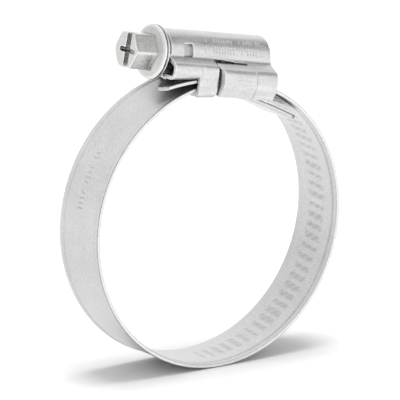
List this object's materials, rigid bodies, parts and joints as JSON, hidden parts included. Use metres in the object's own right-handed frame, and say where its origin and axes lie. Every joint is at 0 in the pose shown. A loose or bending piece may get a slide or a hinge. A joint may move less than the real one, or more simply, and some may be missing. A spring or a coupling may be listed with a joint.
{
  "type": "hose clamp",
  "caption": "Worm-drive hose clamp: a grooved steel band closed into a loop by a hexagon-head screw held in a pressed housing.",
  "frame": {"origin": "centre of the hose seat, on the loop's axis, midway across the band", "axes": "+Y along the hose, +Z from the hose to the housing, +X along the screw from its head to its tip"},
  "size_m": [0.0526, 0.016, 0.0608],
  "materials": {
    "band_zinc": "satin zinc plate",
    "housing_zinc": "satin zinc plate, faint pressing marks",
    "screw_zinc": "bright zinc plate"
  },
  "bodies": {
    "clamp_base": {"housing": "housing_zinc", "band_fixed_end": "band_zinc"},
    "screw": {"screw": "screw_zinc"},
    "band_tongue": {"band_tongue": "band_zinc"},
    "band_left_span": {"band_left_span": "band_zinc"},
    "band_bottom_span": {"band_bottom_span": "band_zinc"},
    "band_right_span": {"band_right_span": "band_zinc"},
    "band_threaded_end": {"band_threaded_end": "band_zinc"}
  },
  "joints": [
    {"name": "screw_turn", "type": "hinge", "parent": "clamp_base", "child": "screw", "pos_m": [-0.016, 0, 0.0295], "axis": [1, 0, 0], "range_deg": [0, 1800]},
    {"name": "band_left_bend", "type": "hinge", "parent": "clamp_base", "child": "band_left_span", "pos_m": [-0.02396, 0, 0.00872], "axis": [0, -1, 0], "range_deg": [0, 2.3]},
    {"name": "band_low_left_bend", "type": "hinge", "parent": "band_left_span", "child": "band_bottom_span", "pos_m": [-0.01803, 0, -0.01803], "axis": [0, -1, 0], "range_deg": [0, 4.4]},
    {"name": "band_low_right_bend", "type": "hinge", "parent": "band_bottom_span", "child": "band_right_span", "pos_m": [0.00754, 0, -0.02436], "axis": [0, -1, 0], "range_deg": [0, 5.68]},
    {"name": "band_right_bend", "type": "hinge", "parent": "band_right_span", "child": "band_threaded_end", "pos_m": [0.02499, 0, -0.0051], "axis": [0, -1, 0], "range_deg": [0, 2.01]},
    {"name": "tongue_bend", "type": "hinge", "parent": "clamp_base", "child": "band_tongue", "pos_m": [0.00542, 0, 0.02202], "axis": [0, 1, 0], "range_deg": [0, 11.17]}
  ],
  "couplings": [
    {"joint": "band_left_bend", "follows": "screw_turn", "ratio": 0.001272},
    {"joint": "band_low_left_bend", "follows": "screw_turn", "ratio": 0.0024386},
    {"joint": "band_low_right_bend", "follows": "screw_turn", "ratio": 0.0031511},
    {"joint": "band_right_bend", "follows": "screw_turn", "ratio": 0.0011089},
    {"joint": "tongue_bend", "follows": "screw_turn", "ratio": 0.0062}
  ]
}
